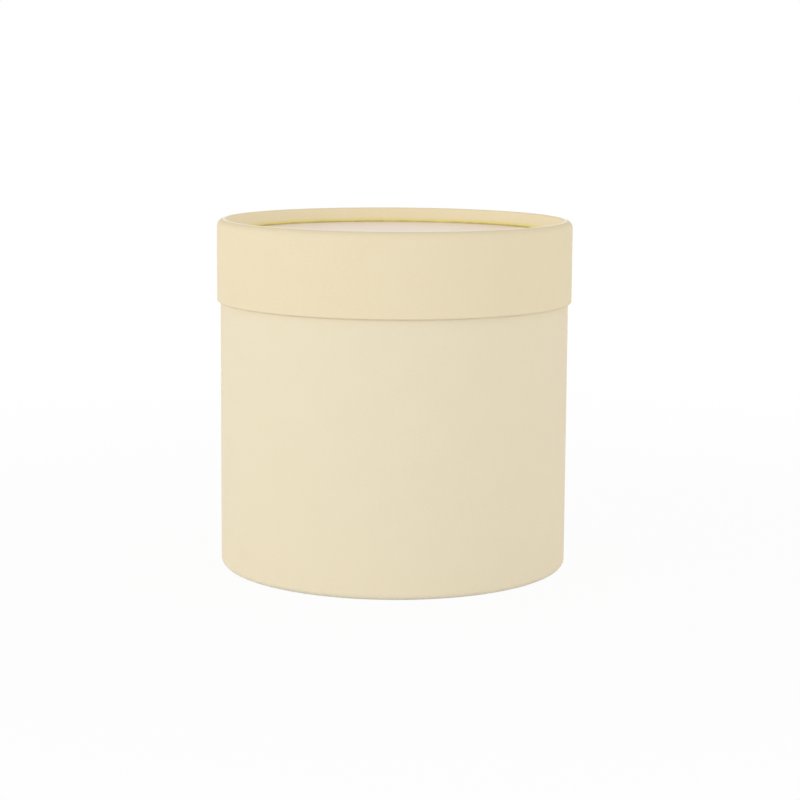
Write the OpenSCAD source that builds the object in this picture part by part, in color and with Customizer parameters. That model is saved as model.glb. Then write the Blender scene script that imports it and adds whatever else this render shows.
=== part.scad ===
/* [Box] */
// Height of the closed box, from the foot to the top of the lid
box_h = 125; // [100:1:150]
// Outside diameter of the bucket
bucket_d = 125; // [100:1:150]
// Gap all round between the lid and the bucket's lap seam
slip_gap = 0.1; // [0.06:0.01:0.4]
// Gap between the bucket's rim and the lid that rests on it
rest_gap = 0.02; // [0.01:0.01:0.1]

/* [Bucket] */
// Thickness of the bucket's board wall
bucket_board_t = 1.2; // [0.8:0.1:1.6]
// Thickness of the board disc that closes the bucket
base_board_t = 2; // [1.5:0.1:3]
// Outer radius of the roll at the bucket's foot
foot_roll_r = 2.2; // [2:0.1:3]
// Width of the flat that the foot stands on
foot_flat_w = 1; // [0.6:0.1:2]
// Height from the centre of the foot's roll up to the base, where its upright leg ends
foot_leg_h = 0.8; // [0.4:0.1:2]
// Depth to which the wrap turns in over the bucket's rim
rim_turn_in = 12; // [8:1:20]

/* [Lid] */
// Height of the lid, from its lower edge to the top of its roll
lid_h = 29.2; // [24:0.2:40]
// Thickness of the lid's board wall
lid_board_t = 0.6; // [0.5:0.05:1]
// Thickness of the board disc that closes the lid
lid_disc_t = 1.5; // [1:0.1:2.5]
// Outer radius of the roll round the lid's top
lid_roll_r = 2.6; // [2.2:0.1:3.2]
// Width of the flat on the crown of the lid's roll
lid_flat_w = 0.15; // [0.1:0.05:1]
// Radius inside the board's tight bend, on the inner side of the lid's crown
lid_fold_r = 0.15; // [0.1:0.05:0.6]
// How far the lid's leg leans towards the axis below that bend
lid_lean_w = 1.7; // [0:0.1:2]
// Height from the lid's disc, where the leg ends, up to the centre of its roll
lid_leg_h = 2.7; // [1:0.1:4]
// Depth to which the wrap turns in under the lid's lower edge
skirt_turn_in = 10; // [6:1:14]

/* [Papers] */
// Thickness of the coloured wrapping paper
wrap_t = 0.12; // [0.1:0.01:0.2]
// Thickness of the white lining paper
lining_t = 0.1; // [0.08:0.01:0.15]
// Thickness of the glue film between two layers
glue_t = 0.02; // [0.01:0.01:0.04]
// Outer radius of the bend where the wrap turns over a cut edge
hem_r = 0.3; // [0.25:0.05:0.4]
// Width over which the two ends of a wrap lap at the back
lap_w = 10; // [6:1:14]

/* [Hidden] */
// Smoothness of the round faces
$fn = 180;
// How far a cut runs past what it cuts
overrun = 1;
full_turn = 360;
// Direction of the lap seams, at the back of the box
seam_turn = 90;

wrap_colour = "#ebdfbe";
disc_colour = "#ece1c6";
board_colour = "#b8a98f";
lining_colour = "#f3f0e8";

// Layers of a wall from its outside: wrap, board, lining, and the wrap's turned-in end
board_inset = wrap_t + glue_t;
bucket_lining_inset = board_inset + bucket_board_t + glue_t;
bucket_stack_t = bucket_lining_inset + lining_t + glue_t + wrap_t;
lid_lining_inset = board_inset + lid_board_t + glue_t;
lid_stack_t = lid_lining_inset + lining_t + glue_t + wrap_t;

// Radius of the bend on the inner side of the lid's crown, over the face of the wrap
lid_bend_r = board_inset + lid_board_t + lid_fold_r;

// A rolled edge: its radius, its flat, the radius and lean of its inner side, its leg's height
foot_roll = [foot_roll_r, foot_flat_w, foot_roll_r, 0, foot_leg_h];
lip_roll = [lid_roll_r, lid_flat_w, lid_bend_r, lid_lean_w, lid_leg_h];

bucket_r = bucket_d / 2;
lid_r = bucket_r + wrap_t + slip_gap + lid_stack_t;
base_r = bucket_r - bucket_lining_inset;
lid_disc_r = lid_r - lid_lining_inset;

// Heights in the bucket, from the foot up
base_paper_z = foot_roll_r + foot_leg_h;
base_board_z = base_paper_z + wrap_t + glue_t;
base_lining_z = base_board_z + base_board_t + glue_t;
bucket_floor_z = base_lining_z + lining_t;

// Heights in the lid, from its top down
lid_paper_top_z = box_h - lid_roll_r - lid_leg_h;
lid_disc_top_z = lid_paper_top_z - wrap_t - glue_t;
lid_lining_top_z = lid_disc_top_z - lid_disc_t - glue_t;
lid_ceiling_z = lid_lining_top_z - lining_t;
skirt_z = box_h - lid_h;
rim_z = lid_ceiling_z - rest_gap;

// Quarter of a disc, from the centre towards the edge of a wall at y = 0
module quarter_disc(r, side) {
    intersection() {
        circle(r = r);
        translate([side > 0 ? 0 : -2 * r, -2 * r]) square([2 * r, 2 * r]);
    }
}

// Half section of a wall whose edge is rolled inwards, filled out to the face of one layer.
// The roll's crown lies on y = 0 and the wall runs along y. The leg leaves the bend on the
// crown's inner side as its tangent. The inset is the layer's depth under the outside.
module roll_outline(face_r, roll, inset, wall_h) {
    roll_r = roll[0];
    bend_r = roll[2];
    outer_x = face_r - roll_r;
    inner_x = outer_x - roll[1];
    leg_end_y = roll_r + roll[4];
    run = bend_r + roll[3];
    rise = leg_end_y - bend_r;
    leg_turn = atan2(rise, -run) + acos(bend_r / norm([run, rise]));
    round_r = roll_r - inset;
    fold_r = bend_r - inset;
    leg_x = inner_x + fold_r * cos(leg_turn);
    leg_y = bend_r + fold_r * sin(leg_turn);
    past_y = leg_end_y + overrun;
    past_x = leg_x - (past_y - leg_y) * tan(leg_turn);
    polygon([
        [outer_x, roll_r], [outer_x + round_r, roll_r], [outer_x + round_r, wall_h],
        [past_x, wall_h], [past_x, past_y], [leg_x, leg_y],
        [inner_x, bend_r], [inner_x, inset], [outer_x, inset]
    ]);
    translate([outer_x, roll_r]) quarter_disc(round_r, 1);
    translate([inner_x, bend_r]) circle(r = fold_r);
}

// Half section of one layer of a rolled wall: up the wall, round the roll and down the leg
module rolled_layer(face_r, roll, inset, layer_t, wall_h) {
    difference() {
        roll_outline(face_r, roll, inset, wall_h);
        roll_outline(face_r, roll, inset + layer_t, wall_h + overrun);
        translate([0, roll[0] + roll[4]]) square([face_r - roll[0], wall_h]);
    }
}

// Half section of a wall's cut edge at y = edge_y, filled out to one face of the hem
module hem_outline(face_r, stack_t, inset, edge_y, hem_h) {
    outer_x = face_r - hem_r;
    inner_x = face_r - stack_t + hem_r;
    round_r = hem_r - inset;
    translate([inner_x - round_r, edge_y - hem_h])
        square([outer_x - inner_x + 2 * round_r, hem_h - hem_r]);
    translate([inner_x, edge_y - hem_r]) square([outer_x - inner_x, round_r]);
    translate([outer_x, edge_y - hem_r]) mirror([0, 1]) quarter_disc(round_r, 1);
    translate([inner_x, edge_y - hem_r]) mirror([0, 1]) quarter_disc(round_r, -1);
}

// Half section of the wrap where it turns over a cut edge and runs back along the inside
module hem_layer(face_r, stack_t, edge_y, hem_h) {
    difference() {
        hem_outline(face_r, stack_t, 0, edge_y, hem_h);
        hem_outline(face_r, stack_t, wrap_t, edge_y, hem_h + overrun);
    }
}

// Strip where the end of a wrap lies over its beginning. It stands proud on the straight wall
// only, because it is pressed flat in the roll and in the hem.
module lap_strip(face_r, low_z, high_z) {
    lap_turn = full_turn * lap_w / (2 * PI * face_r);
    rotate([0, 0, seam_turn - lap_turn / 2])
        rotate_extrude(angle = lap_turn)
            translate([face_r - wrap_t / 2, low_z])
                square([wrap_t / 2 + wrap_t, high_z - low_z]);
}

// Tube between two radii and two heights
module ring(inner_r, outer_r, low_z, high_z) {
    rotate_extrude(angle = full_turn)
        translate([inner_r, low_z])
            square([outer_r - inner_r, high_z - low_z]);
}

// Flat disc on a height
module disc(r, thickness, low_z) {
    translate([0, 0, low_z]) cylinder(r = r, h = thickness);
}

// Turns a section drawn from the lid's crown down the right way up
module from_lid_top() {
    translate([0, box_h]) mirror([0, 1]) children();
}

// Board wall of the bucket, rolled inwards at the foot
module bucket_tube() {
    color(board_colour)
        rotate_extrude(angle = full_turn)
            rolled_layer(bucket_r, foot_roll, board_inset, bucket_board_t, rim_z - hem_r);
}

// Coloured paper round the bucket: rolled with the foot, turned in over the rim, lapped at the back
module bucket_wrap() {
    color(wrap_colour) union() {
        rotate_extrude(angle = full_turn) {
            rolled_layer(bucket_r, foot_roll, 0, wrap_t, rim_z - rim_turn_in);
            hem_layer(bucket_r, bucket_stack_t, rim_z, rim_turn_in);
        }
        lap_strip(bucket_r, foot_roll_r + hem_r, rim_z - 2 * hem_r);
    }
}

// White lining of the bucket's wall
module bucket_lining() {
    lining_r = bucket_r - bucket_lining_inset;
    color(lining_colour)
        ring(lining_r - lining_t, lining_r, bucket_floor_z + glue_t, rim_z - hem_r);
}

// Board disc that closes the bucket
module base_board() {
    color(board_colour) disc(base_r, base_board_t, base_board_z);
}

// Coloured paper under the base board, held by the foot's leg
module base_paper() {
    color(disc_colour) disc(base_r, wrap_t, base_paper_z);
}

// White lining over the base board
module base_lining() {
    color(lining_colour) disc(base_r, lining_t, base_lining_z);
}

// Board wall of the lid, rolled inwards at the top
module lid_tube() {
    color(board_colour)
        rotate_extrude(angle = full_turn)
            from_lid_top()
                rolled_layer(lid_r, lip_roll, board_inset, lid_board_t, lid_h - hem_r);
}

// Coloured paper round the lid: rolled with the top, turned in under the skirt, lapped at the back
module lid_wrap() {
    color(wrap_colour) union() {
        rotate_extrude(angle = full_turn)
            from_lid_top() {
                rolled_layer(lid_r, lip_roll, 0, wrap_t, lid_h - skirt_turn_in);
                hem_layer(lid_r, lid_stack_t, lid_h, skirt_turn_in);
            }
        lap_strip(lid_r, skirt_z + 2 * hem_r, box_h - lid_roll_r - hem_r);
    }
}

// White lining of the lid's wall
module lid_lining() {
    lining_r = lid_r - lid_lining_inset;
    color(lining_colour)
        ring(lining_r - lining_t, lining_r, skirt_z + hem_r, lid_ceiling_z - glue_t);
}

// Board disc that closes the lid, under the roll's leg
module lid_disc_board() {
    color(board_colour) disc(lid_disc_r, lid_disc_t, lid_disc_top_z - lid_disc_t);
}

// Coloured paper on the lid's disc
module lid_disc_paper() {
    color(disc_colour) disc(lid_disc_r, wrap_t, lid_paper_top_z - wrap_t);
}

// White lining under the lid's disc, which rests on the bucket's rim
module lid_disc_lining() {
    color(lining_colour) disc(lid_disc_r, lining_t, lid_ceiling_z);
}

bucket_tube();
bucket_wrap();
bucket_lining();
base_board();
base_paper();
base_lining();
lid_tube();
lid_wrap();
lid_lining();
lid_disc_board();
lid_disc_paper();
lid_disc_lining();
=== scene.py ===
"""Looks of a round flower bucket of paper over board, built round its packed construction.

The box is a bucket with a rolled foot and a slip-on lid whose rolled lip stands round a sunk
disc. Every paper layer is made as the sheet that it is: cut, wound round the axis, lapped at
the back, rolled with the board and turned in over the cut edge. Sizes are in millimetres, and
MM turns them into the frame's metres.
"""

import logging
import math
from dataclasses import dataclass, field
from enum import Enum
from itertools import accumulate

import bmesh
import bpy
from bpy.types import Material, Mesh, Node, NodeSocket, NodeTree, Object
from mathutils import Matrix, Vector


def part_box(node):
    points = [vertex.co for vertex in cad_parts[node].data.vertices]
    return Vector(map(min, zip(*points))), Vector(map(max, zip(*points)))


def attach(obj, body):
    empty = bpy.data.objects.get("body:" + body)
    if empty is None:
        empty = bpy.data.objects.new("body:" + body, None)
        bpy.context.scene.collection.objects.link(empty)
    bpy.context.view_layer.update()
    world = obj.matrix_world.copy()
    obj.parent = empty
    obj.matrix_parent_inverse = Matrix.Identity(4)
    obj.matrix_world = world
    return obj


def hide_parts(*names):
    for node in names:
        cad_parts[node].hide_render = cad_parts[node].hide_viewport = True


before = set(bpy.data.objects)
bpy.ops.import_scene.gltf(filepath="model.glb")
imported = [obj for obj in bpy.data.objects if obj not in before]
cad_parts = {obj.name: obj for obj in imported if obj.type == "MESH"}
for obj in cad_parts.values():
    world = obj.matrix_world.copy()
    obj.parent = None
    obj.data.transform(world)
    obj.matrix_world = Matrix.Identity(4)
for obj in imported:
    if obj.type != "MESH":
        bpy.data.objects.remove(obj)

LOG = logging.getLogger("flower_bucket")
MM = 0.001
FULL_TURN = 2 * math.pi
WHITE = "#FFFFFF"

# A bend sharper than this shows as an edge.
SHARP_TURN = math.radians(50)

# What a station of a section carries: where a lap stands proud, where the paper is burnished by a
# bend, which also sets the painted shade and painted highlight on the bend, how high it gathers
# into ridges, and how near it lies to the foot of the leg, where painted crevice shade goes.
TRAITS = ("proud", "burnish", "gather", "glue")

# Rows of faces along the stretches of a section, and columns of faces round a sheet.
EDGE_ROWS = 2
LEG_ROWS = 3
END_ROWS = 4
FADE_ROWS = 4
HEM_ROWS = 6
WALL_ROWS = 6
LINING_ROWS = 8
ROLL_ROWS = 12
DISC_ROWS = 24
LINING_COLUMNS = 360
DISC_COLUMNS = 180

# What may go into a node's input, and two numbers such as a radius and a height.
Term = float | Node | NodeSocket
Pair = tuple[float, float]


class Facing(Enum):
    """Way that the face of a paper disc looks."""

    DOWN = -1
    UP = 1


class Lay(Enum):
    """How a layer lies on the box, which sets the way its pattern runs."""

    WOUND = "wound"
    FLAT = "flat"


def linear(hex_colour: str) -> tuple[float, float, float, float]:
    """Turns an sRGB hex colour into linear light.

    Args:
        hex_colour: colour such as "#EADEC2".

    Returns:
        Linear red, green and blue, and an alpha of 1.
    """
    shares = [int(hex_colour[place:place + 2], 16) / 255 for place in (1, 3, 5)]
    red, green, blue = (
        share / 12.92 if share <= 0.04045 else ((share + 0.055) / 1.055) ** 2.4
        for share in shares
    )
    return red, green, blue, 1.0


def add_node(tree: NodeTree, kind: str, inputs: dict | None = None, **settings: object) -> Node:
    """Adds a node with its settings, values and links.

    Args:
        tree: node tree that the node goes into.
        kind: type name of the node.
        inputs: by socket name or number, a value, a socket to link, or a node whose first
            output in use is linked.
        settings: properties of the node.

    Returns:
        The new node.
    """
    node = tree.nodes.new(kind)
    for name, value in settings.items():
        setattr(node, name, value)
    for key, value in (inputs or {}).items():
        if isinstance(key, int):
            socket = node.inputs[key]
        else:
            socket = next(each for each in node.inputs if each.enabled and each.name == key)
        if isinstance(value, Node):
            value = next(each for each in value.outputs if each.enabled)
        if isinstance(value, NodeSocket):
            tree.links.new(value, socket)
        else:
            socket.default_value = value
    return node


def new_material(name: str) -> tuple[Material, NodeTree]:
    """Makes an empty node material.

    Args:
        name: name of the material.

    Returns:
        The material and its cleared node tree.
    """
    material = bpy.data.materials.new(name)
    material.use_nodes = True
    material.node_tree.nodes.clear()
    return material, material.node_tree


def pattern_scale(size: float) -> float:
    """Texture scale at which a pattern repeats over a size in millimetres, on metres."""
    return 1 / (size * MM)


@dataclass(frozen=True)
class Tone:
    """A tone that lies over a ground colour where a pattern or a trait is strong.

    It begins at the low strength. At the high one it hides its full share of the ground.
    """

    strength: Term
    low: float
    high: float
    share: float
    colour: str


def toned(tree: NodeTree, ground: str, tones: tuple[Tone, ...]) -> Term:
    """Lays tones over a ground colour, each over the ones before it.

    Args:
        tree: node tree of the material.
        ground: sRGB hex colour of the ground.
        tones: the tones, from the lowest to the topmost.

    Returns:
        The output that gives the finished colour.
    """
    colour: object = linear(ground)
    for tone in tones:
        amount = add_node(tree, "ShaderNodeMapRange", {
            "Value": tone.strength, "From Min": tone.low, "From Max": tone.high,
            "To Max": tone.share,
        })
        colour = add_node(tree, "ShaderNodeMix", {
            0: amount, 6: colour, 7: linear(tone.colour),
        }, data_type="RGBA").outputs[2]
    return colour


@dataclass(frozen=True)
class WrapPaper:
    """Dyed wrapping paper, uncoated and calendered.

    Its dye goes right through, so the cut edges keep the colour. The calendered side gives the
    eye a faint glow at a flat angle, over a tooth of fibres and a cloudy formation. A bend is
    A bend is burnished, and is painted a tone of its own: painted shade below a rolled crest, or
    painted light where a half gives it a paler tone. It shows fine lines along the edge from the
    rolling tool. The very crest of a hard-rubbed bend is glossy, and is painted pale as a painted
    highlight.
    """

    name: str
    lay: Lay
    colour: str = "#EDE1C5"
    dense: str = "#E5D6B4"
    fibre: str = "#F3E9D3"
    # Painted shade: the bend tone, darker than the paper, stands in for the shade below a rolled
    # crest.
    burnished: str = "#E1D3B1"
    # Painted highlight: the pale tone of the very crest stands in for a glint.
    painted_crest_highlight: str = "#FFF4DE"
    # Painted crevice shade: a deeper yellow for light bounced in the corner at the leg's foot,
    # then a dark line for the shade in it.
    glued: str = "#E8D984"
    glue_line: str = "#BFB06A"
    cut: str = "#F6F0E0"
    ior: float = 1.47
    roughness: float = 0.5
    burnished_roughness: float = 0.34
    # Its felt of fibres breaks up most of the mirror reflection that a sized paper would give.
    gloss: float = 0.01
    # From this much burnish on, the crest is painted pale as a painted highlight. A little
    # further on it is coated.
    crest_highlight_from: float = 0.78
    crest_highlight_full: float = 0.92
    coat_from: float = 0.8
    coat: float = 0.3
    coat_roughness: float = 0.12
    # The painted crevice shade at the leg's foot, a deeper yellow for light bounced in the corner
    # and a dark line for the shade there, is uneven. Its dark line starts where this much of it
    # shows.
    glue_least: float = 0.75
    glue_most: float = 1.15
    line_from: float = 0.6
    cloud_mm: float = 11.0
    # Fibres are about 0.05 wide. They are drawn coarser, in bundles that the render can show.
    fibre_mm: float = 0.55
    fibre_stretch: float = 2.4
    tooth_mm: float = 0.02
    tooth_strength: float = 0.6
    tool_line_mm: float = 0.8
    tool_line_stretch: float = 60.0
    tool_depth_mm: float = 0.03

    def material(self) -> Material:
        """Builds the paper.

        Returns:
            The material.
        """
        material, tree = new_material(self.name)
        if self.lay is Lay.WOUND:
            place = add_node(tree, "ShaderNodeUVMap", uv_map="UVMap").outputs["UV"]
        else:
            place = add_node(tree, "ShaderNodeTexCoord").outputs["Object"]
        grain = add_node(tree, "ShaderNodeMapping", {
            "Vector": place, "Scale": (1 / self.fibre_stretch, 1.0, 1.0),
        })
        cloud = add_node(tree, "ShaderNodeTexNoise", {
            "Vector": place, "Scale": pattern_scale(self.cloud_mm), "Detail": 4.0,
            "Roughness": 0.6,
        }).outputs["Fac"]
        fibre = add_node(tree, "ShaderNodeTexNoise", {
            "Vector": grain, "Scale": pattern_scale(self.fibre_mm), "Detail": 3.0,
            "Roughness": 0.7,
        }).outputs["Fac"]
        uneven_shade = add_node(tree, "ShaderNodeMapRange", {
            "Value": cloud, "From Min": 0.35, "From Max": 0.65,
            "To Min": self.glue_least, "To Max": self.glue_most,
        })
        burnish, crevice_mask, cut = (
            add_node(tree, "ShaderNodeAttribute", attribute_name=name).outputs["Fac"]
            for name in ("burnish", "glue", "cut")
        )
        glue = add_node(tree, "ShaderNodeMath", {0: crevice_mask, 1: uneven_shade}, operation="MULTIPLY")
        colour = toned(tree, self.colour, (
            Tone(cloud, 0.35, 0.75, 0.13, self.dense),
            Tone(fibre, 0.45, 0.8, 0.35, self.fibre),
            # Painted shade and painted highlight on the bends, then painted crevice shade at the
            # leg's foot.
            Tone(burnish, 0.0, self.crest_highlight_from, 1.0, self.burnished),
            Tone(burnish, self.crest_highlight_from, self.crest_highlight_full, 1.0, self.painted_crest_highlight),
            Tone(glue, 0.0, self.line_from, 0.9, self.glued),
            Tone(glue, self.line_from, 1.0, 0.85, self.glue_line),
            Tone(cut, 0.0, 1.0, 0.7, self.cut),
        ))
        polish = add_node(tree, "ShaderNodeMapRange", {
            "Value": burnish, "To Min": self.roughness, "To Max": self.burnished_roughness,
        })
        coat = add_node(tree, "ShaderNodeMapRange", {
            "Value": burnish, "From Min": self.coat_from, "To Max": self.coat,
        })
        shader = add_node(tree, "ShaderNodeBsdfPrincipled", {
            "Base Color": colour, "Roughness": polish, "IOR": self.ior,
            "Normal": self._relief(tree, place, fibre, burnish),
            "Specular IOR Level": self.gloss, "Coat Weight": coat,
            "Coat Roughness": self.coat_roughness,
        })
        add_node(tree, "ShaderNodeOutputMaterial", {"Surface": shader})
        return material

    def _relief(
        self, tree: NodeTree, place: NodeSocket, fibre: NodeSocket, burnish: NodeSocket
    ) -> Node:
        """Adds the tooth of the fibres and the lines that the rolling tool leaves.

        Args:
            tree: node tree of the material.
            place: coordinates along and across the sheet.
            fibre: pattern of the fibres.
            burnish: how much a point is burnished, which also sets its painted shade and
                highlight.

        Returns:
            The node that gives the normal.
        """
        tooth = add_node(tree, "ShaderNodeBump", {
            "Height": fibre, "Strength": self.tooth_strength, "Distance": self.tooth_mm * MM,
        })
        drawn = add_node(tree, "ShaderNodeMapping", {
            "Vector": place, "Scale": (1 / self.tool_line_stretch, 1.0, 1.0),
        })
        lines = add_node(tree, "ShaderNodeTexNoise", {
            "Vector": drawn, "Scale": pattern_scale(self.tool_line_mm), "Detail": 2.0,
        })
        height = add_node(tree, "ShaderNodeMath", {
            0: lines.outputs["Fac"], 1: burnish,
        }, operation="MULTIPLY")
        return add_node(tree, "ShaderNodeBump", {
            "Height": height, "Normal": tooth, "Distance": self.tool_depth_mm * MM,
        })


@dataclass(frozen=True)
class FilmLining:
    """White kraft paper laminated with a thin film.

    The film keeps water off the board. It gives the eye a soft satin glow over a faint fibre,
    with a slight orange peel where the film follows the paper.
    """

    name: str = "film_laminated_lining"
    colour: str = "#F8F6F0"
    fibre: str = "#EDE9DF"
    roughness: float = 0.45
    coat: float = 0.25
    coat_roughness: float = 0.25
    fibre_mm: float = 1.2
    peel_mm: float = 3.0
    peel_depth_mm: float = 0.03
    peel_strength: float = 0.5

    def material(self) -> Material:
        """Builds the lining.

        Returns:
            The material.
        """
        material, tree = new_material(self.name)
        place = add_node(tree, "ShaderNodeTexCoord").outputs["Object"]
        fibre = add_node(tree, "ShaderNodeTexNoise", {
            "Vector": place, "Scale": pattern_scale(self.fibre_mm), "Detail": 4.0,
            "Roughness": 0.65,
        }).outputs["Fac"]
        peel = add_node(tree, "ShaderNodeTexNoise", {
            "Vector": place, "Scale": pattern_scale(self.peel_mm), "Detail": 1.0,
        }).outputs["Fac"]
        bump = add_node(tree, "ShaderNodeBump", {
            "Height": peel, "Strength": self.peel_strength, "Distance": self.peel_depth_mm * MM,
        })
        shader = add_node(tree, "ShaderNodeBsdfPrincipled", {
            "Base Color": toned(tree, self.colour, (Tone(fibre, 0.45, 0.75, 0.5, self.fibre),)),
            "Roughness": self.roughness, "Normal": bump,
            "Coat Weight": self.coat, "Coat Roughness": self.coat_roughness,
        })
        add_node(tree, "ShaderNodeOutputMaterial", {"Surface": shader})
        return material


@dataclass(frozen=True)
class Greyboard:
    """Recycled greyboard, pasted up from plies.

    It gives the eye a dull grey-brown with light and dark fibres, and at a cut edge the lines
    of its plies.
    """

    name: str
    lay: Lay
    colour: str = "#B8A98F"
    dark: str = "#94866D"
    pale: str = "#D3C9B4"
    line: str = "#A3957B"
    roughness: float = 0.92
    fibre_mm: float = 0.9
    fibre_depth_mm: float = 0.06
    fibre_strength: float = 0.7
    fleck_mm: float = 2.5
    ply_mm: float = 0.4

    def material(self) -> Material:
        """Builds the board.

        Returns:
            The material.
        """
        material, tree = new_material(self.name)
        place = add_node(tree, "ShaderNodeTexCoord").outputs["Object"]
        axes = (1.0, 1.0, 0.0) if self.lay is Lay.WOUND else (0.0, 0.0, 1.0)
        depth = add_node(tree, "ShaderNodeVectorMath", {
            0: add_node(tree, "ShaderNodeVectorMath", {0: place, 1: axes}, operation="MULTIPLY"),
        }, operation="LENGTH").outputs["Value"]
        turns = add_node(tree, "ShaderNodeMath", {
            0: depth, 1: FULL_TURN / (self.ply_mm * MM),
        }, operation="MULTIPLY")
        plies = add_node(tree, "ShaderNodeMath", {0: turns}, operation="COSINE")
        fibre = add_node(tree, "ShaderNodeTexNoise", {
            "Vector": place, "Scale": pattern_scale(self.fibre_mm), "Detail": 5.0,
            "Roughness": 0.7,
        }).outputs["Fac"]
        fleck = add_node(tree, "ShaderNodeTexNoise", {
            "Vector": place, "Scale": pattern_scale(self.fleck_mm), "Detail": 6.0,
            "Roughness": 0.8, "Distortion": 1.5,
        }).outputs["Fac"]
        colour = toned(tree, self.colour, (
            Tone(fibre, 0.5, 0.75, 0.7, self.dark),
            Tone(fleck, 0.55, 0.7, 0.8, self.pale),
            Tone(plies, 0.6, 1.0, 0.5, self.line),
        ))
        bump = add_node(tree, "ShaderNodeBump", {
            "Height": fibre, "Strength": self.fibre_strength,
            "Distance": self.fibre_depth_mm * MM,
        })
        shader = add_node(tree, "ShaderNodeBsdfPrincipled", {
            "Base Color": colour, "Roughness": self.roughness, "Normal": bump,
        })
        add_node(tree, "ShaderNodeOutputMaterial", {"Surface": shader})
        return material


def envelope(node: str) -> tuple[float, float, float]:
    """Radius of a CAD node along +X, clear of any lap, and its lowest and highest height."""
    low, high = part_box(node)
    return high.x / MM, low.z / MM, high.z / MM


@dataclass
class SheetSection:
    """Half section of a sheet, as stations along the face that shows.

    The stations follow each other with the paper on their left and the open on their right.

    Attributes:
        points: radius and height of each station.
        normals: direction away from the paper at each station.
        traits: what each station carries, by the names in TRAITS.
    """

    points: list[Vector] = field(default_factory=list)
    normals: list[Vector] = field(default_factory=list)
    traits: dict[str, list[float]] = field(
        default_factory=lambda: {name: [] for name in TRAITS}
    )

    def straight(self, start: Pair, end: Pair, rows: int, **traits: Pair) -> None:
        """Adds a straight stretch.

        Args:
            start: radius and height at its start.
            end: radius and height at its end.
            rows: number of rows of faces along it.
            traits: by name, the value at the start and at the end.
        """
        way = (Vector(end) - Vector(start)).normalized()
        normal = Vector((way.y, -way.x))
        for share in self._shares(rows):
            self._station(Vector(start).lerp(Vector(end), share), normal, share, traits)

    def bend(
        self, centre: Pair, radius: float, start: float, end: float, rows: int, **traits: Pair
    ) -> None:
        """Adds a round stretch whose outer side shows.

        Args:
            centre: radius and height of its centre.
            radius: radius of the bend.
            start: direction of its start from the centre, in degrees.
            end: direction of its end.
            rows: number of rows of faces along it.
            traits: by name, the value at the start and at the end.
        """
        for share in self._shares(rows):
            turn = math.radians(start + share * (end - start))
            normal = Vector((math.cos(turn), math.sin(turn)))
            self._station(Vector(centre) + radius * normal, normal, share, traits)

    def _shares(self, rows: int) -> list[float]:
        """Shares of a stretch at its stations, without its start if another comes before it."""
        return [row / rows for row in range(1 if self.points else 0, rows + 1)]

    def _station(
        self, point: Vector, normal: Vector, share: float, traits: dict[str, Pair]
    ) -> None:
        """Adds a station.

        Args:
            point: its radius and height.
            normal: direction away from the paper.
            share: share of the stretch passed.
            traits: by name, the value at the start and at the end of the stretch.
        """
        self.points.append(point)
        self.normals.append(normal)
        for name in TRAITS:
            low, high = traits.get(name, (0.0, 0.0))
            self.traits[name].append(low + share * (high - low))

    def hung_from(self, top: float) -> "SheetSection":
        """Turns a section drawn upwards from zero into one that hangs down from a height.

        Args:
            top: height that zero moves to.

        Returns:
            The mirrored section, traced the other way so that its faces still point outwards.
        """
        return SheetSection(
            [Vector((point.x, top - point.y)) for point in reversed(self.points)],
            [Vector((normal.x, -normal.y)) for normal in reversed(self.normals)],
            {name: values[::-1] for name, values in self.traits.items()},
        )

    def mesh(self, name: str) -> Mesh:
        """Makes the section a polyline mesh over the XZ plane.

        Args:
            name: name of the mesh.

        Returns:
            The mesh, whose points stand in the order of the stations and carry what they do.
        """
        mesh = bpy.data.meshes.new(name)
        places = [(point.x * MM, 0.0, point.y * MM) for point in self.points]
        mesh.from_pydata(places, [(row, row + 1) for row in range(len(places) - 1)], [])
        gaps = [(after - before).length * MM
                for before, after in zip(self.points, self.points[1:])]
        path = list(accumulate(gaps, initial=0.0))
        columns = {**self.traits, "path": path,
                   "to_end": [min(way, path[-1] - way) for way in path]}
        for key, values in columns.items():
            mesh.attributes.new(key, "FLOAT", "POINT").data.foreach_set("value", values)
        outward = [part for normal in self.normals for part in (normal.x, 0.0, normal.y)]
        mesh.attributes.new("outward", "FLOAT_VECTOR", "POINT").data.foreach_set(
            "vector", outward)
        return mesh


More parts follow.
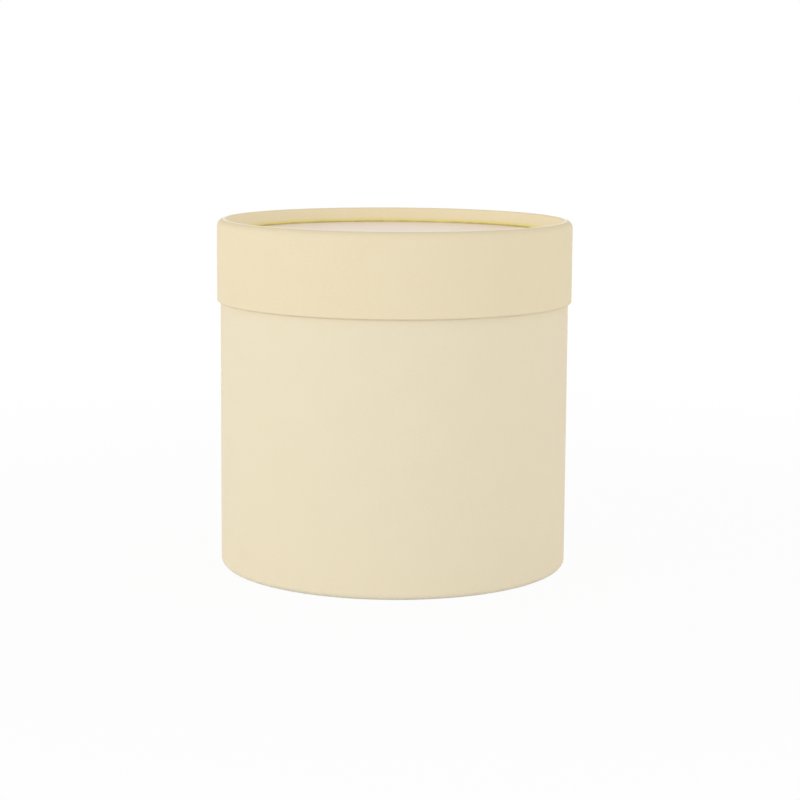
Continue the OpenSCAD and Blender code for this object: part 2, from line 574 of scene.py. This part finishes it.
class SheetTree:
    """Geometry Nodes that wind a sheet round the box's axis from its half section.

    The sheet starts under its lap, goes once round, climbs on to its own beginning and ends
    there. It gathers into low ridges where its section says so. Where a section doesn't let
    the lap stand proud, the beginning is pressed into the board instead.
    """

    INPUTS = {
        "NodeSocketGeometry": ("Section",),
        "NodeSocketInt": ("Columns", "Gathers", "Seed"),
        "NodeSocketFloat": (
            "Start", "Turn", "Edge Turn", "Middle Turn", "Lap", "Groove End", "Climb Start",
            "Step", "Face Radius", "Cut Fade", "Cut Share", "Pressed Share",
        ),
        "NodeSocketMaterial": ("Paper",),
    }
    # What is read from the section at each row of the sheet.
    READ = {"position": "FLOAT_VECTOR", "outward": "FLOAT_VECTOR", "path": "FLOAT",
            "to_end": "FLOAT", **dict.fromkeys(TRAITS, "FLOAT")}
    # Each ridge has a cell of the sheet. It has its own share of the full height and its own
    # place in the cell, and it falls away within RIDGE_REACH of the cell.
    RIDGE_SHARES = (0.25, 1.0)
    RIDGE_PLACES = (0.35, 0.65)
    RIDGE_REACH = 0.34
    WELD_MM = 0.0005

    def __init__(self) -> None:
        """Builds the tree."""
        self.tree = bpy.data.node_groups.new("wound_sheet", "GeometryNodeTree")
        interface = self.tree.interface
        for kind, names in self.INPUTS.items():
            for name in names:
                interface.new_socket(name, in_out="INPUT", socket_type=kind)
        interface.new_socket("Sheet", in_out="OUTPUT", socket_type="NodeSocketGeometry")
        self.given = add_node(self.tree, "NodeGroupInput").outputs
        self._wire()

    def _travel(self, column: Node) -> Term:
        """Adds the angle travelled since the sheet's start.

        Args:
            column: number of columns passed.

        Returns:
            The angle, with the first and the last column as narrow as a cut edge shows.
        """
        tree, given = self.tree, self.given
        last = add_node(tree, "ShaderNodeMath", {0: given["Columns"], 1: 1.0},
                        operation="SUBTRACT")
        travel: Term = 0.0
        for start, end, turn in (
            (0.0, 1.0, "Edge Turn"), (1.0, last, "Middle Turn"),
            (last, given["Columns"], "Edge Turn"),
        ):
            part = add_node(tree, "ShaderNodeMapRange", {
                "Value": column, "From Min": start, "From Max": end, "To Max": given[turn],
            })
            travel = add_node(tree, "ShaderNodeMath", {0: travel, 1: part}, operation="ADD")
        return travel

    def _lift(self, travel: Term, proud: Node) -> Node:
        """Adds the height by which the lap rises or its beginning is pressed in.

        Args:
            travel: angle travelled since the sheet's start.
            proud: how far the section lets the lap stand proud.

        Returns:
            The height.
        """
        tree, given = self.tree, self.given
        pressed = add_node(tree, "ShaderNodeMapRange", {
            "Value": travel, "From Min": given["Lap"], "From Max": given["Groove End"],
            "To Min": -1.0, "To Max": 0.0,
        }, interpolation_type="SMOOTHSTEP")
        raised = add_node(tree, "ShaderNodeMapRange", {
            "Value": travel, "From Min": given["Climb Start"], "From Max": FULL_TURN,
        }, interpolation_type="SMOOTHSTEP")
        steps = add_node(tree, "ShaderNodeMix", {0: proud, 2: pressed, 3: raised})
        return add_node(tree, "ShaderNodeMath", {0: steps, 1: given["Step"]},
                        operation="MULTIPLY")

    def _ridge(self, phase: Node, gather: Node) -> Node:
        """Adds the height of the ridges into which the sheet gathers.

        Args:
            phase: number of cells passed, each of one ridge.
            gather: height that the section gives the ridges.

        Returns:
            The height.
        """
        tree, seed = self.tree, self.given["Seed"]
        cell = add_node(tree, "ShaderNodeMath", {0: phase}, operation="FLOOR")
        next_seed = add_node(tree, "ShaderNodeMath", {0: seed, 1: 1.0}, operation="ADD")
        share, crest = (
            add_node(tree, "FunctionNodeRandomValue", {
                "Min": low, "Max": high, "ID": cell, "Seed": own_seed,
            }, data_type="FLOAT")
            for low, high, own_seed in ((*self.RIDGE_SHARES, seed),
                                        (*self.RIDGE_PLACES, next_seed))
        )
        place = add_node(tree, "ShaderNodeMath", {0: phase}, operation="FRACT")
        aside = add_node(tree, "ShaderNodeMath", {0: place, 1: crest}, operation="SUBTRACT")
        pulse = add_node(tree, "ShaderNodeMapRange", {
            "Value": add_node(tree, "ShaderNodeMath", {0: aside}, operation="ABSOLUTE"),
            "From Max": self.RIDGE_REACH, "To Min": share, "To Max": 0.0,
        }, interpolation_type="SMOOTHSTEP")
        return add_node(tree, "ShaderNodeMath", {0: pulse, 1: gather}, operation="MULTIPLY")

    def _cut(self, travel: Term, to_end: Node, proud: Node) -> Node:
        """Adds how much of a cut edge shows.

        Args:
            travel: angle travelled since the sheet's start.
            to_end: way along the section to its nearer end.
            proud: how far the section lets the lap stand proud.

        Returns:
            1 at an edge of the sheet, less where a side is pressed flat, and 0 away from it.
        """
        tree, given = self.tree, self.given
        to_go = add_node(tree, "ShaderNodeMath", {0: given["Turn"], 1: travel},
                         operation="SUBTRACT")
        to_side = add_node(tree, "ShaderNodeMath", {0: travel, 1: to_go}, operation="MINIMUM")
        shown = add_node(tree, "ShaderNodeMapRange", {
            "Value": proud, "To Min": given["Pressed Share"],
        })
        side, end = (
            add_node(tree, "ShaderNodeMapRange", {
                "Value": way, "From Max": fade, "To Min": full, "To Max": 0.0,
            }, interpolation_type="SMOOTHSTEP")
            for way, fade, full in ((to_side, given["Edge Turn"], shown),
                                    (to_end, given["Cut Fade"], 1.0))
        )
        edge = add_node(tree, "ShaderNodeMath", {0: side, 1: end}, operation="MAXIMUM")
        return add_node(tree, "ShaderNodeMath", {0: edge, 1: given["Cut Share"]},
                        operation="MULTIPLY")

    def _wire(self) -> None:
        """Links the whole tree: a flat grid takes its values row by row and is wound up."""
        tree, given = self.tree, self.given
        rows = add_node(tree, "GeometryNodeAttributeDomainSize", {
            "Geometry": given["Section"],
        }, component="MESH").outputs["Point Count"]
        last_row = add_node(tree, "ShaderNodeMath", {0: rows, 1: 1.0}, operation="SUBTRACT")
        grid = add_node(tree, "GeometryNodeMeshGrid", {
            "Size X": 1.0, "Size Y": 1.0, "Vertices Y": rows,
            "Vertices X": add_node(tree, "ShaderNodeMath", {0: given["Columns"], 1: 1.0},
                                   operation="ADD"),
        })
        place = add_node(tree, "ShaderNodeSeparateXYZ", {
            "Vector": add_node(tree, "GeometryNodeInputPosition"),
        }).outputs
        column, phase, row = (
            add_node(tree, "ShaderNodeMapRange", {
                "Value": place[axis], "From Min": -0.5, "From Max": 0.5, "To Max": count,
            })
            for axis, count in (("X", given["Columns"]), ("X", given["Gathers"]),
                                ("Y", last_row))
        )
        row = add_node(tree, "ShaderNodeMath", {0: row}, operation="ROUND")
        read = {
            name: add_node(tree, "GeometryNodeSampleIndex", {
                "Geometry": given["Section"], "Index": row,
                "Value": add_node(tree, "GeometryNodeInputNamedAttribute", {"Name": name},
                                  data_type=kind),
            }, data_type=kind, domain="POINT", clamp=True)
            for name, kind in self.READ.items()
        }
        travel = self._travel(column)
        height = add_node(tree, "ShaderNodeMath", {
            0: self._lift(travel, read["proud"]), 1: self._ridge(phase, read["gather"]),
        }, operation="ADD")
        offset = add_node(tree, "ShaderNodeVectorMath", {0: read["outward"], "Scale": height},
                          operation="SCALE")
        wound = add_node(tree, "ShaderNodeVectorRotate", {
            "Vector": add_node(tree, "ShaderNodeVectorMath", {0: read["position"], 1: offset},
                               operation="ADD"),
            "Angle": add_node(tree, "ShaderNodeMath", {0: given["Start"], 1: travel},
                              operation="ADD"),
        }, rotation_type="Z_AXIS")
        flat = add_node(tree, "ShaderNodeCombineXYZ", {
            "X": add_node(tree, "ShaderNodeMath", {0: travel, 1: given["Face Radius"]},
                          operation="MULTIPLY"),
            "Y": read["path"],
        })
        cut = self._cut(travel, read["to_end"], read["proud"])
        stored = [(name, read[name], "FLOAT", "POINT") for name in TRAITS]
        stored += [("cut", cut, "FLOAT", "POINT"), ("UVMap", flat, "FLOAT2", "CORNER")]
        sheet: Term = grid.outputs["Mesh"]
        for name, value, data_type, domain in stored:
            sheet = add_node(tree, "GeometryNodeStoreNamedAttribute", {
                "Geometry": sheet, "Name": name, "Value": value,
            }, data_type=data_type, domain=domain)
        for kind, inputs in (
            ("GeometryNodeSetPosition", {"Position": wound}),
            ("GeometryNodeMergeByDistance", {"Distance": self.WELD_MM * MM}),
            ("GeometryNodeSetShadeSmooth", {}),
            ("GeometryNodeRealizeInstances", {}),
            ("GeometryNodeSetMaterial", {"Material": given["Paper"]}),
        ):
            sheet = add_node(tree, kind, {"Geometry": sheet, **inputs})
        add_node(tree, "NodeGroupOutput", {"Sheet": sheet})


@dataclass(frozen=True)
class Stock:
    """What a sheet is cut from: the name of its slot, which is not used, its thickness and its
    material.
    """

    slot: str
    thickness: float
    finish: Material


@dataclass(frozen=True)
class Sheet:
    """One sheet of paper on the box.

    Attributes:
        name: name of the finished piece.
        node: CAD node that it stands for.
        body: body that it rides on.
        stock: what it is cut from.
        section: half section of its visible face.
        face_r: radius along which its length is measured.
        lap_w: width of its lap, negative where its ends are left apart.
        climb_w: width over which it climbs on to its own beginning.
        groove_w: width of the groove beside a lap that is pressed flat.
        cut_fade: width over which a cut edge shows.
        pressed_share: how much of a side's cut edge shows where its lap is pressed flat.
        gathers: number of ridges round it.
        columns: number of faces round it.
        seed: seed of its ridges.
    """

    name: str
    node: str
    body: str
    stock: Stock
    section: SheetSection
    face_r: float
    lap_w: float = 0.0
    climb_w: float = 1.6
    groove_w: float = 0.3
    cut_fade: float = 0.15
    pressed_share: float = 0.15
    gathers: int = 96
    columns: int = 600
    seed: int = 1

    def build(self, winder: SheetTree) -> Object:
        """Winds the sheet, gives it its thickness and seats it on its body.

        Args:
            winder: the tree that winds sheets.

        Returns:
            The finished piece.
        """
        piece = bpy.data.objects.new(self.name, self.section.mesh(self.name + "_section"))
        bpy.context.collection.objects.link(piece)
        lap, edge = self.lap_w / self.face_r, self.cut_fade / self.face_r
        under = max(lap, 0.0)
        values = {
            "Columns": self.columns, "Gathers": self.gathers, "Seed": self.seed,
            # The middle of the lap lies at the back, a quarter turn on from +X.
            "Start": FULL_TURN / 4 - lap / 2, "Turn": FULL_TURN + lap, "Edge Turn": edge,
            "Middle Turn": FULL_TURN + lap - 2 * edge, "Lap": under,
            "Groove End": under + self.groove_w / self.face_r,
            "Climb Start": FULL_TURN - self.climb_w / self.face_r,
            "Step": self.stock.thickness * MM if self.lap_w > 0 else 0.0,
            "Face Radius": self.face_r * MM, "Cut Fade": self.cut_fade * MM,
            "Cut Share": 0.0 if self.lap_w == 0 else 1.0,
            "Pressed Share": self.pressed_share, "Paper": self.stock.finish,
        }
        winding = piece.modifiers.new("winding", "NODES")
        winding.node_group = winder.tree
        for item in winder.tree.interface.items_tree:
            if item.in_out == "INPUT" and item.name in values:
                winding[item.identifier] = values[item.name]
        ply = piece.modifiers.new("thickness", "SOLIDIFY")
        ply.thickness = self.stock.thickness * MM
        ply.offset = -1.0
        ply.use_even_offset = True
        bake(piece)
        piece.data.set_sharp_from_angle(angle=SHARP_TURN)
        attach(piece, self.body)
        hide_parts(self.node)
        return piece


def bake(piece: Object) -> None:
    """Turns a piece's modifiers into its own mesh and removes them.

    Args:
        piece: object whose evaluated mesh replaces its mesh.
    """
    graph = bpy.context.evaluated_depsgraph_get()
    mesh = bpy.data.meshes.new_from_object(
        piece.evaluated_get(graph), preserve_all_data_layers=True, depsgraph=graph)
    piece.modifiers.clear()
    drawn = piece.data
    piece.data = mesh
    mesh.name = piece.name
    bpy.data.meshes.remove(drawn)


@dataclass
class BoxHalf:
    """One half of the box: a wrapped and lined wall with a rolled edge, closed by a disc.

    Attributes:
        body: body that the half is.
        hung: whether the wall hangs down from its roll.
        board_t: thickness of the wall's board.
        roll_r: radius of the roll's outer bend.
        flat_w: width of the flat on the roll's crown.
        bend_r: radius of the bend on the crown's inner side.
        lean_w: how far the roll's leg leans from that bend towards the axis.
        leg_h: height from the outer bend's centre to the end of the leg.
        leg_ridge: height of the ridges into which the wrap gathers on the leg.
        crown_burnish_and_light: how strongly the crown is burnished, which also sets how far the
            painted shade and painted highlight on it go.
        turn_in: depth to which the wrap turns in over the wall's cut edge.
        hem_ridge: height of the ridges on the part that is turned in.
    """

    body: str
    hung: bool
    board_t: float
    roll_r: float
    flat_w: float
    bend_r: float
    lean_w: float
    leg_h: float
    leg_ridge: float
    crown_burnish_and_light: float
    turn_in: float
    hem_ridge: float
    # Thicknesses of the wrap, of the lining and of the glue between two layers.
    wrap_t: float = 0.12
    lining_t: float = 0.1
    glue_t: float = 0.02
    # Width of the wrap's lap, height over which the lap goes from pressed flat to proud, and
    # the gap that the lining leaves instead.
    lap_w: float = 10.0
    lap_fade: float = 2.0
    lining_gap: float = 0.2
    # Bends over the wall's cut edge, how much they are burnished and painted in the bend's tone
    # of painted shade or light, and the bend of a cut end.
    hem_r: float = 0.3
    hem_burnish_and_light: float = 0.3
    tip_r: float = 0.2
    # Shares of the leg's height, from its end, up to which the painted crevice shade shows richly
    # and beyond which there is a trace of it, and how much of it shows at the two.
    glue_reach: Pair = (0.26, 0.7)
    glue_shown: Pair = (0.6, 0.05)

    def wrap(self, node: str, stock: Stock, seed: int) -> Sheet:
        """Cuts the sheet that wraps the wall.

        Args:
            node: CAD node that it stands for.
            stock: what it is cut from.
            seed: seed of its ridges.

        Returns:
            The sheet.
        """
        radius, low, high = envelope(node)
        section = SheetSection()
        self._draw_roll(section, radius)
        self._draw_wall(section, radius, high - low)
        if self.hung:
            section = section.hung_from(high)
        return Sheet(node + "_sheet", node, self.body, stock, section, radius,
                     lap_w=self.lap_w, seed=seed)

    def lining(self, node: str, stock: Stock) -> Sheet:
        """Cuts the lining of the wall, whose ends are left a little apart.

        Args:
            node: CAD node that it stands for.
            stock: what it is cut from.

        Returns:
            The sheet.
        """
        radius, low, high = envelope(node)
        face_r = radius - stock.thickness
        section = SheetSection()
        section.straight((face_r, high), (face_r, low), LINING_ROWS)
        return Sheet(node + "_sheet", node, self.body, stock, section, radius,
                     lap_w=-self.lining_gap, columns=LINING_COLUMNS)

    def disc(self, node: str, stock: Stock, facing: Facing) -> Sheet:
        """Cuts a disc of paper.

        Args:
            node: CAD node that it stands for.
            stock: what it is cut from.
            facing: way that the face that shows looks.

        Returns:
            The sheet.
        """
        radius, low, high = envelope(node)
        section = SheetSection()
        if facing is Facing.UP:
            section.straight((radius, high), (0, high), DISC_ROWS)
        else:
            section.straight((0, low), (radius, low), DISC_ROWS)
        return Sheet(node + "_disc", node, self.body, stock, section, radius,
                     columns=DISC_COLUMNS)

    def _draw_roll(self, section: SheetSection, face_r: float) -> None:
        """Draws the wrap on the leg and round the roll, with the crown at height zero.

        Args:
            section: section that it is added to.
            face_r: radius of the wrap's outer face.
        """
        outer_x = face_r - self.roll_r
        inner_x = outer_x - self.flat_w
        bend_at = Vector((inner_x, self.bend_r))
        end = Vector((inner_x - self.bend_r - self.lean_w, self.roll_r + self.leg_h))
        # The leg runs from its end to where it touches the inner bend.
        reach = end - bend_at
        facing = math.atan2(reach.y, reach.x) + math.acos(self.bend_r / reach.length)
        away = Vector((math.cos(facing), math.sin(facing)))
        bend_end = bend_at + self.bend_r * away
        down = (end - bend_end).normalized()
        leg_turn = math.degrees(facing)
        tip = end - self.tip_r * (1 - away.y) / down.y * down
        near, far = (end - share * self.leg_h * down for share in self.glue_reach)
        rich, trace = self.glue_shown
        ridge, crown_burnish_and_light = self.leg_ridge * MM, self.crown_burnish_and_light
        # Painted crevice shade runs up the leg from its end, richly and then as a trace.
        section.bend(tip - self.tip_r * away, self.tip_r, 90, leg_turn, END_ROWS,
                     glue=(1, 1))
        section.straight(tip, near, LEG_ROWS, gather=(0, ridge), glue=(1, rich))
        section.straight(near, far, LEG_ROWS, gather=(ridge, ridge), glue=(rich, trace))
        section.straight(far, bend_end, FADE_ROWS, gather=(ridge, ridge), glue=(trace, trace))
        section.bend(bend_at, self.bend_r, leg_turn, 270, ROLL_ROWS,
                     gather=(ridge, 0), burnish=(0, crown_burnish_and_light), glue=(trace, 0))
        section.straight((inner_x, 0), (outer_x, 0), 1, burnish=(crown_burnish_and_light, crown_burnish_and_light))
        section.bend((outer_x, self.roll_r), self.roll_r, 270, 360, ROLL_ROWS, burnish=(crown_burnish_and_light, 0))

    def _draw_wall(self, section: SheetSection, face_r: float, wall_h: float) -> None:
        """Draws the wrap up the wall, over its cut edge and down to the turned-in end.

        Args:
            section: section that it is added to.
            face_r: radius of the wrap's outer face.
            wall_h: height from the roll's crown to the hem.
        """
        fade, hem_r, hem_tone_share = self.lap_fade, self.hem_r, self.hem_burnish_and_light
        low_y = self.roll_r + hem_r
        edge_y = wall_h - hem_r
        high_y = edge_y - hem_r
        start_y = self.roll_r
        for end_y, rows, traits in (
            (low_y, 1, {}),
            (low_y + fade, FADE_ROWS, {"proud": (0, 1)}),
            (high_y - fade, WALL_ROWS, {"proud": (1, 1)}),
            (high_y, FADE_ROWS, {"proud": (1, 0)}),
            (edge_y, 1, {"burnish": (0, hem_tone_share)}),
        ):
            section.straight((face_r, start_y), (face_r, end_y), rows, **traits)
            start_y = end_y
        # The wall is board, wrap, lining and turned-in wrap, with glue between them.
        back_x = face_r - (2 * self.wrap_t + self.lining_t + self.board_t + 3 * self.glue_t)
        tip_y = wall_h - self.turn_in
        ridge = self.hem_ridge * MM
        section.bend((face_r - hem_r, edge_y), hem_r, 0, 90, HEM_ROWS, burnish=(hem_tone_share, hem_tone_share))
        section.straight((face_r - hem_r, wall_h), (back_x + hem_r, wall_h), EDGE_ROWS,
                         burnish=(hem_tone_share, hem_tone_share))
        section.bend((back_x + hem_r, edge_y), hem_r, 90, 180, HEM_ROWS,
                     burnish=(hem_tone_share, 0), gather=(0, ridge))
        for start_y, end_y, rows in (
            (edge_y, tip_y + self.tip_r, HEM_ROWS), (tip_y + self.tip_r, tip_y, 1),
        ):
            section.straight((back_x, start_y), (back_x, end_y), rows, gather=(ridge, ridge))


@dataclass
class Bucket(BoxHalf):
    """The bucket: a board tube with a rolled foot, closed by a board disc."""

    body: str = "bucket"
    hung: bool = False
    board_t: float = 1.2
    roll_r: float = 2.2
    flat_w: float = 1.0
    bend_r: float = 2.2
    lean_w: float = 0.0
    leg_h: float = 0.8
    leg_ridge: float = 0.03
    crown_burnish_and_light: float = 0.7
    turn_in: float = 12.0
    hem_ridge: float = 0.16

    def sheets(self) -> list[Sheet]:
        """Cuts the bucket's self.

        Returns:
            Its four sheets, from the outside in.
        """
        # The bend of the foot and the edge of the rim are painted pale, as painted light that
        # lifts the shade on them.
        wound = Stock("wrap_paper", self.wrap_t, WrapPaper(
            "dyed_wrapping_paper_bucket", Lay.WOUND, burnished="#F4F1E0").material())
        flat = Stock("disc_paper", self.wrap_t, WrapPaper(
            "dyed_wrapping_paper_base", Lay.FLAT).material())
        film = Stock("lining", self.lining_t, FilmLining().material())
        return [
            self.wrap("bucket_wrap", wound, seed=11),
            self.lining("bucket_lining", film),
            self.disc("base_paper", flat, Facing.DOWN),
            self.disc("base_lining", film, Facing.UP),
        ]

    def boards(self) -> dict[str, Material]:
        """Finishes of the bucket's boards, by CAD node."""
        return {
            "bucket_tube": Greyboard("greyboard_bucket_tube", Lay.WOUND).material(),
            "base_board": Greyboard("greyboard_base", Lay.FLAT).material(),
        }


@dataclass
class Lid(BoxHalf):
    """The slip-on lid: a board skirt rolled inwards at the top, round a sunk board disc."""

    body: str = "lid"
    hung: bool = True
    board_t: float = 0.6
    roll_r: float = 2.6
    flat_w: float = 0.15
    bend_r: float = 0.89
    lean_w: float = 1.7
    leg_h: float = 2.7
    leg_ridge: float = 0.05
    crown_burnish_and_light: float = 1.0
    turn_in: float = 10.0
    hem_ridge: float = 0.06

    def sheets(self) -> list[Sheet]:
        """Cuts the lid's self.

        Returns:
            Its four sheets, from the outside in.
        """
        # The lid's wrap is a little warmer than the bucket's. Its disc is of a paler, smoother
        # paper, in which the lip is faintly mirrored.
        wound = Stock("wrap_paper", self.wrap_t, WrapPaper(
            "dyed_wrapping_paper_lid", Lay.WOUND, colour="#EDDFBE",
            dense="#E5D2AC").material())
        flat = Stock("disc_paper", self.wrap_t, WrapPaper(
            "dyed_wrapping_paper_disc", Lay.FLAT, colour="#F0DECC", dense="#EADCC2",
            roughness=0.32, gloss=0.5).material())
        film = Stock("lining", self.lining_t,
                     FilmLining("film_laminated_lining_lid").material())
        return [
            self.wrap("lid_wrap", wound, seed=23),
            self.lining("lid_lining", film),
            self.disc("lid_disc_paper", flat, Facing.UP),
            self.disc("lid_disc_lining", film, Facing.DOWN),
        ]

    def boards(self) -> dict[str, Material]:
        """Finishes of the lid's boards, by CAD node."""
        return {
            "lid_tube": Greyboard("greyboard_lid_tube", Lay.WOUND, ply_mm=0.3).material(),
            "lid_disc_board": Greyboard("greyboard_disc", Lay.FLAT).material(),
        }


@dataclass(frozen=True)
class Studio:
    """White table, soft light and the camera at the photograph's viewing angle."""

    floor_r: float = 4000.0
    floor_sides: int = 96
    floor_colour: str = "#E8E8E8"
    # How white the camera sees the table near the box, where 1 would hide the shadow, and the
    # distances between which it turns plain white.
    seen_share: float = 0.94
    shadow_near: float = 150.0
    shadow_far: float = 500.0
    # How strong the room's light is level with the box and overhead, and the sine of the
    # height from which it is as dim as overhead.
    horizon: float = 1.77
    zenith: float = 0.7
    dim_from: float = 0.6
    lamp_place: tuple[float, float, float] = (-880.0, -640.0, 480.0)
    lamp_aim: float = 60.0
    lamp_size: float = 450.0
    lamp_power: float = 1.31
    lens: float = 96.018
    sensor: float = 36.0
    shift_up: float = -0.06
    eye: tuple[float, float, float] = (2.16, -765.953, 178.834)
    pitch: float = 7.599
    roll: float = 0.39

    def build(self) -> None:
        """Sets up the floor, the world, the lamp and the camera."""
        bpy.context.scene.view_settings.view_transform = "Standard"
        self._floor()
        self._world()
        self._lamp()
        self._camera()

    def _seen(self, tree: NodeTree) -> Node:
        """Adds a test for what the eye sees.

        Args:
            tree: node tree that the test goes into.

        Returns:
            The node that gives 1 for camera, glossy and transmission rays.
        """
        path = add_node(tree, "ShaderNodeLightPath").outputs
        glossy = add_node(tree, "ShaderNodeMath", {
            0: path["Is Camera Ray"], 1: path["Is Glossy Ray"],
        }, operation="MAXIMUM")
        return add_node(tree, "ShaderNodeMath", {
            0: glossy, 1: path["Is Transmission Ray"],
        }, operation="MAXIMUM")

    def _floor(self) -> None:
        """Lays a round white table top that keeps the object's shadow."""
        shape = bmesh.new()
        bmesh.ops.create_circle(
            shape, cap_ends=True, segments=self.floor_sides, radius=self.floor_r * MM)
        mesh = bpy.data.meshes.new("table_top")
        shape.to_mesh(mesh)
        shape.free()
        floor = bpy.data.objects.new("table_top", mesh)
        bpy.context.collection.objects.link(floor)
        material, tree = new_material("white_table")
        plain = add_node(tree, "ShaderNodeBsdfDiffuse", {"Color": linear(self.floor_colour)})
        glow = add_node(tree, "ShaderNodeEmission", {"Color": linear(WHITE), "Strength": 1.0})
        away = add_node(tree, "ShaderNodeVectorMath", {
            0: add_node(tree, "ShaderNodeTexCoord").outputs["Object"],
        }, operation="LENGTH").outputs["Value"]
        white = add_node(tree, "ShaderNodeMapRange", {
            "Value": away, "From Min": self.shadow_near * MM, "From Max": self.shadow_far * MM,
            "To Min": self.seen_share,
        }, interpolation_type="SMOOTHSTEP")
        share = add_node(tree, "ShaderNodeMath", {
            0: self._seen(tree), 1: white,
        }, operation="MULTIPLY")
        mixed = add_node(tree, "ShaderNodeMixShader", {0: share, 1: plain, 2: glow})
        add_node(tree, "ShaderNodeOutputMaterial", {"Surface": mixed})
        mesh.materials.append(material)

    def _world(self) -> None:
        """Hangs a white room round the box, a little dimmer overhead."""
        world = bpy.data.worlds.new("white_room")
        bpy.context.scene.world = world
        world.use_nodes = True
        tree = world.node_tree
        tree.nodes.clear()
        direction = add_node(tree, "ShaderNodeSeparateXYZ", {
            "Vector": add_node(tree, "ShaderNodeTexCoord").outputs["Generated"],
        })
        level = add_node(tree, "ShaderNodeMapRange", {
            "Value": direction.outputs["Z"], "From Max": self.dim_from,
            "To Min": self.horizon, "To Max": self.zenith,
        })
        room = add_node(tree, "ShaderNodeBackground", {"Color": linear(WHITE), "Strength": level})
        seen = add_node(tree, "ShaderNodeBackground", {"Color": linear(WHITE), "Strength": 1.0})
        mixed = add_node(tree, "ShaderNodeMixShader", {0: self._seen(tree), 1: room, 2: seen})
        add_node(tree, "ShaderNodeOutputWorld", {"Surface": mixed})

    def _lamp(self) -> None:
        """Hangs a large soft lamp to the left of the camera."""
        lamp = bpy.data.lights.new("soft_lamp", "AREA")
        lamp.shape = "DISK"
        lamp.size = self.lamp_size * MM
        lamp.energy = self.lamp_power
        holder = bpy.data.objects.new("soft_lamp", lamp)
        bpy.context.collection.objects.link(holder)
        place = Vector(self.lamp_place) * MM
        aim = Vector((0.0, 0.0, self.lamp_aim)) * MM
        holder.location = place
        holder.rotation_euler = (aim - place).to_track_quat("-Z", "Y").to_euler()

    def _camera(self) -> None:
        """Sets the camera as a fit to the photograph's outlines gives it."""
        data = bpy.data.cameras.new("camera")
        data.lens = self.lens
        data.sensor_width = self.sensor
        data.shift_y = self.shift_up
        camera = bpy.data.objects.new("camera", data)
        bpy.context.collection.objects.link(camera)
        camera.matrix_world = (
            Matrix.Translation(Vector(self.eye) * MM)
            @ Matrix.Rotation(math.radians(90 - self.pitch), 4, "X")
            @ Matrix.Rotation(math.radians(self.roll), 4, "Z")
        )
        bpy.context.scene.camera = camera


def main() -> None:
    """Builds the studio, the bucket and the lid, and reports each piece."""
    logging.basicConfig(level=logging.INFO, format="%(name)s: %(message)s")
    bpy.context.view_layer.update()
    Studio().build()
    winder = SheetTree()
    for half in (Bucket(), Lid()):
        for sheet in half.sheets():
            piece = sheet.build(winder)
            LOG.info("%s rides on %s, %d faces", piece.name, sheet.body,
                     len(piece.data.polygons))
        for node, finish in half.boards().items():
            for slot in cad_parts[node].material_slots:
                slot.material = finish
            LOG.info("%s is dressed in %s", node, finish.name)


if __name__ == "__main__":
    main()
